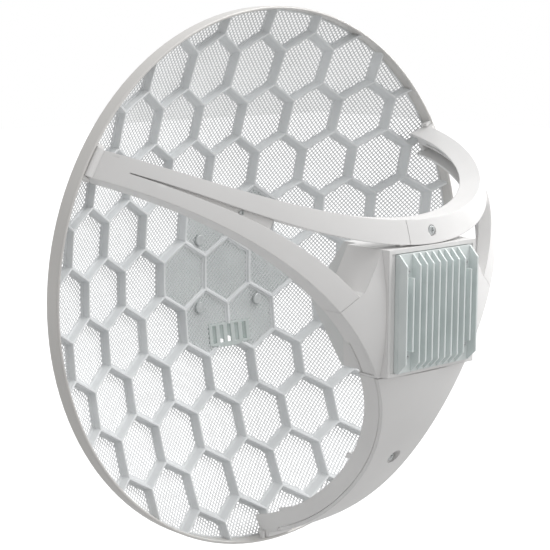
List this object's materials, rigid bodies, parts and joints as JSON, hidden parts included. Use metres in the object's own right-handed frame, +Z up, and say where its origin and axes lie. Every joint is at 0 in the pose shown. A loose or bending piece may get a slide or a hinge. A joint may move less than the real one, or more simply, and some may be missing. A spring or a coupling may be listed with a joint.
{
  "type": "parabolic grid antenna",
  "caption": "Parabolic grid dish with honeycomb ridges, three arms that hold a finned radio head at the focus, a hinged cable cover and a tilting pole mount.",
  "frame": {"origin": "on the clamped mast's axis, level with the dish's axis", "axes": "+Z up along the mast, -Y from the mast along the dish's axis to the radio head, +X to the right seen from the head's side"},
  "size_m": [0.3909, 0.2545, 0.391],
  "materials": {
    "grid": "satin",
    "rim": "brushed",
    "plate": "satin",
    "arm_plastic": "satin",
    "feed_plastic": "satin",
    "heatsink": "satin",
    "steel": "brushed",
    "bracket": "satin",
    "saddle": "satin",
    "seal": "matte",
    "board": "satin",
    "board_plastic": "matte",
    "chip": "matte",
    "pad": "matte",
    "tin": "satin",
    "pin_metal": "satin",
    "jack": "satin",
    "clear": "gloss"
  },
  "bodies": {
    "mast_mount": {"pole_saddle": "saddle", "tilt_bolt": "steel", "tilt_washers": "steel", "tilt_nut": "steel"},
    "antenna": {"reflector_mesh": "grid", "honeycomb_ridges": "grid", "rim_ring": "rim", "centre_plate": "plate", "plate_screws": "steel", "tilt_bracket": "bracket", "left_arm": "arm_plastic", "right_arm": "arm_plastic", "lower_arm": "arm_plastic", "crown_screw": "steel", "arm_screws": "steel", "rim_clips": "arm_plastic", "head_housing": "arm_plastic", "heatsink": "heatsink", "heatsink_screws": "steel", "housing_seal": "seal", "circuit_board": "board", "radio_chip": "chip", "thermal_pad": "pad", "shield_can": "tin", "feed_ground_plane": "tin", "feed_patch": "tin", "patch_posts": "board_plastic", "feed_standoffs": "board_plastic", "feed_pins": "pin_metal", "feed_cover": "feed_plastic", "ethernet_jack": "jack", "reset_switch": "chip", "light_guide": "clear"},
    "cable_cover": {"cable_cover": "arm_plastic", "cover_screw": "steel"},
    "reset_button": {"reset_button": "chip"}
  },
  "joints": [
    {"name": "tilt", "type": "hinge", "parent": "mast_mount", "child": "antenna", "pos_m": [0, -0.0325, 0], "axis": [1, 0, 0], "range_deg": [-15, 15]},
    {"name": "cover_swing", "type": "hinge", "parent": "antenna", "child": "cable_cover", "pos_m": [0, -0.12237, -0.18288], "axis": [1, 0, 0], "range_deg": [0, 60]},
    {"name": "reset_press", "type": "slide", "parent": "antenna", "child": "reset_button", "axis": [0, 0, 1], "range_m": [0, 0.001], "stiffness_N_per_m": 500, "springref_m": -0.0004}
  ]
}
